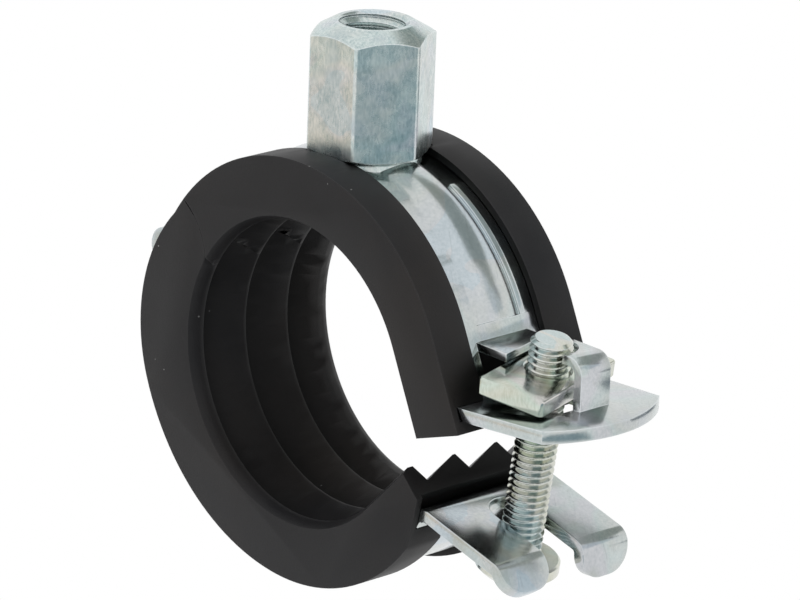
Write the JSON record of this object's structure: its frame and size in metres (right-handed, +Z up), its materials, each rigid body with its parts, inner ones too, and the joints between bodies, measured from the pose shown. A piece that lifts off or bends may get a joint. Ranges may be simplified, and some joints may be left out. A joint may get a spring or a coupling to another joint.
{
  "type": "rubber lined pipe clamp",
  "caption": "Hinged two-part steel pipe clamp with ribbed rubber lining, welded hanger nut on top and a swing screw closure.",
  "frame": {"origin": "on the pipe's axis, at the middle of the clamp's width", "axes": "+Y along the pipe, +Z up through the welded hanger nut, +X towards the screw closure; the hinge is on -X"},
  "size_m": [0.0692, 0.0218, 0.0657],
  "materials": {
    "zinc_strip": "zinc plated sheet, satin to bright",
    "zinc_nut": "zinc plated, bluish, fine drawn grain",
    "zinc_fastener": "zinc plated, bright",
    "lining_rubber": "matt black rubber"
  },
  "bodies": {
    "root": {"upper_band": "zinc_strip", "upper_liner": "lining_rubber", "connection_nut": "zinc_nut"},
    "lower_half": {"lower_band": "zinc_strip", "lower_liner": "lining_rubber"},
    "plate": {"nut_plate": "zinc_fastener"},
    "screw": {"closing_screw": "zinc_fastener"}
  },
  "joints": [
    {"name": "half_hinge", "type": "hinge", "parent": "root", "child": "lower_half", "pos_m": [-0.0239, 0, 0.0087], "axis": [0, 1, 0], "range_deg": [-5.5, 50]},
    {"name": "plate_swing", "type": "hinge", "parent": "root", "child": "plate", "pos_m": [0.03046, 0, 0.00595], "axis": [0, 1, 0], "range_deg": [-2.5, 0]},
    {"name": "screw_travel", "type": "slide", "parent": "plate", "child": "screw", "axis": [-0.1392, 0, -0.9903], "range_m": [-0.00644, 0.0577]}
  ],
  "couplings": [
    {"joint": "screw_travel", "follows": "half_hinge", "m_per_rad": 0.066}
  ]
}
